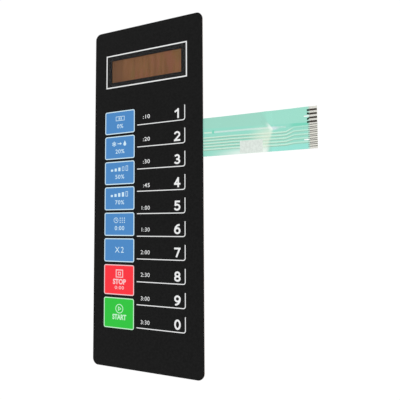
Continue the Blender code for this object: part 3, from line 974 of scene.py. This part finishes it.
def edge_contacts():
    """The thin dark borders along the silver contacts, as one piece."""
    look = make_carbon_ink("contact_edge", CONTACT_EDGE)
    width = CONTACT_EDGE_WIDTH
    editor = bmesh.new()
    for contact in SILVER_CONTACTS:
        low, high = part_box(f"silver_contact_{contact}")
        for y in (low.y - width / 2, high.y + width / 2):
            size = (high.x - low.x, width, high.z - low.z)
            centre = ((low.x + high.x) / 2, y, (low.z + high.z) / 2)
            matrix = Matrix.Translation(centre) @ Matrix.Diagonal((*size, 1.0))
            bmesh.ops.create_cube(editor, size=1.0, matrix=matrix)
    mesh = bpy.data.meshes.new("contact_edges")
    editor.to_mesh(mesh)
    editor.free()
    add_piece("contact_edges", mesh, look)


# Finishes of the CAD nodes

def dress_panel(white, bluish, pinkish, greenish):
    dress(["graphic_overlay"], make_black_film())
    dress(["display_window"], make_smoked_film())
    dress(["window_frame"], white)
    dress([f"{kind}_{digit}" for kind in ("bracket", "numeral") for digit in range(10)], white)
    dress([f"key_outline_{key}" for key in BLUE_KEYS], bluish)
    dress([f"key_outline_{STOP_KEY}"], pinkish)
    dress([f"key_outline_{START_KEY}"], greenish)
    dress([f"key_field_{key}" for key in BLUE_KEYS], make_ink("blue_ink", BLUE))
    dress([f"key_field_{STOP_KEY}"], make_ink("red_ink", RED))
    dress([f"key_field_{START_KEY}"], make_ink("green_ink", GREEN))
    dress(["release_liner"], make_kraft_paper())
    dress(["rear_adhesive", "overlay_adhesive"], make_adhesive())
    dress(["lower_circuit", "upper_circuit", "spacer"], make_clear_film())


def dress_tail():
    dress(["tail_insulation"], make_green_insulation())
    dress(["tail_stiffener"], make_white_film())
    dress(["tail_label"], make_label_paper())
    carbon_contacts = [f"carbon_contact_{contact}" for contact in CARBON_CONTACTS]
    dress(carbon_contacts, make_carbon_ink("carbon_ink", CARBON_BLACK))
    silver_contacts = [f"silver_contact_{contact}" for contact in SILVER_CONTACTS]
    dress(silver_contacts, make_silver_ink())


# Stage, light and camera

def seen_directly(tree):
    """1 for rays from the camera, a mirror or glass, and 0 for others."""
    path = tree.nodes.new("ShaderNodeLightPath")
    result = path.outputs["Is Camera Ray"]
    for name in ("Is Glossy Ray", "Is Transmission Ray"):
        step = tree.nodes.new("ShaderNodeMath")
        step.operation = "MAXIMUM"
        tree.links.new(result, step.inputs[0])
        tree.links.new(path.outputs[name], step.inputs[1])
        result = step.outputs[0]
    return result


def grey_diffuse(tree, value):
    """The shader of a matt grey."""
    shader = tree.nodes.new("ShaderNodeBsdfDiffuse")
    shader.inputs["Color"].default_value = (value, value, value, 1.0)
    return shader.outputs["BSDF"]


def make_floor_look():
    """White where it is seen, with the part's shadow kept faint, and a plain pale grey to other light."""
    look = bpy.data.materials.new("floor_white")
    look.use_nodes = True
    tree = look.node_tree
    tree.nodes.clear()
    glow = tree.nodes.new("ShaderNodeEmission")
    glow.inputs["Strength"].default_value = FLOOR_GLOW
    both = tree.nodes.new("ShaderNodeAddShader")
    tree.links.new(grey_diffuse(tree, FLOOR_SHADE), both.inputs[0])
    tree.links.new(glow.outputs["Emission"], both.inputs[1])
    chosen = tree.nodes.new("ShaderNodeMixShader")
    tree.links.new(seen_directly(tree), chosen.inputs["Fac"])
    tree.links.new(grey_diffuse(tree, FLOOR_BOUNCE), chosen.inputs[1])
    tree.links.new(both.outputs["Shader"], chosen.inputs[2])
    output = tree.nodes.new("ShaderNodeOutputMaterial")
    tree.links.new(chosen.outputs["Shader"], output.inputs["Surface"])
    return look


def make_floor():
    mesh = bpy.data.meshes.new("floor")
    corners = [(x, y, -FLOOR_DEPTH) for x, y in box_outline(FLOOR_WIDTH, FLOOR_WIDTH)]
    mesh.from_pydata(corners, [], [(0, 1, 2, 3)])
    mesh.materials.append(make_floor_look())
    floor = add_object("floor", mesh)


def make_sky():
    """White behind the object, and a softer white as light."""
    world = bpy.data.worlds.new("studio")
    world.use_nodes = True
    bpy.context.scene.world = world
    tree = world.node_tree
    background = tree.nodes["Background"]
    background.inputs["Color"].default_value = (1.0, 1.0, 1.0, 1.0)
    strength = tree.nodes.new("ShaderNodeMapRange")
    strength.inputs["To Min"].default_value = SKY_LIGHT
    strength.inputs["To Max"].default_value = 1.0
    tree.links.new(seen_directly(tree), strength.inputs["Value"])
    tree.links.new(strength.outputs["Result"], background.inputs["Strength"])


def make_lamp():
    """A soft lamp above and to the right, turned to the origin."""
    light = bpy.data.lights.new("soft_lamp", "AREA")
    light.size = LAMP_SIZE
    light.energy = LAMP_POWER
    lamp = add_object("soft_lamp", light)
    lamp.location = LAMP_PLACE
    lamp.rotation_mode = "QUATERNION"
    lamp.rotation_quaternion = Vector(LAMP_PLACE).to_track_quat("Z", "Y")


def make_camera():
    data = bpy.data.cameras.new("camera")
    data.lens = CAMERA_LENS
    data.sensor_width = CAMERA_SENSOR
    data.clip_start = CAMERA_NEAREST
    camera = add_object("camera", data)
    camera.location = CAMERA_PLACE
    camera.rotation_euler = [math.radians(angle) for angle in CAMERA_TURN]
    bpy.context.scene.camera = camera


bpy.context.scene.view_settings.view_transform = "Standard"
make_camera()
make_sky()
make_lamp()
make_floor()
white_ink = make_ink("white_ink", WHITE)
key_whites = [
    make_ink("bluish_white_ink", BLUISH_WHITE),
    make_ink("pinkish_white_ink", PINKISH_WHITE),
    make_ink("greenish_white_ink", GREENISH_WHITE),
]
dress_panel(white_ink, *key_whites)
dress_tail()
print_times(white_ink)
print_legends(*key_whites)
tail_face = tail_surface()
lay_traces(tail_face)
lay_carbon_stubs(tail_face)
lay_covered_edges(tail_face)
edge_contacts()
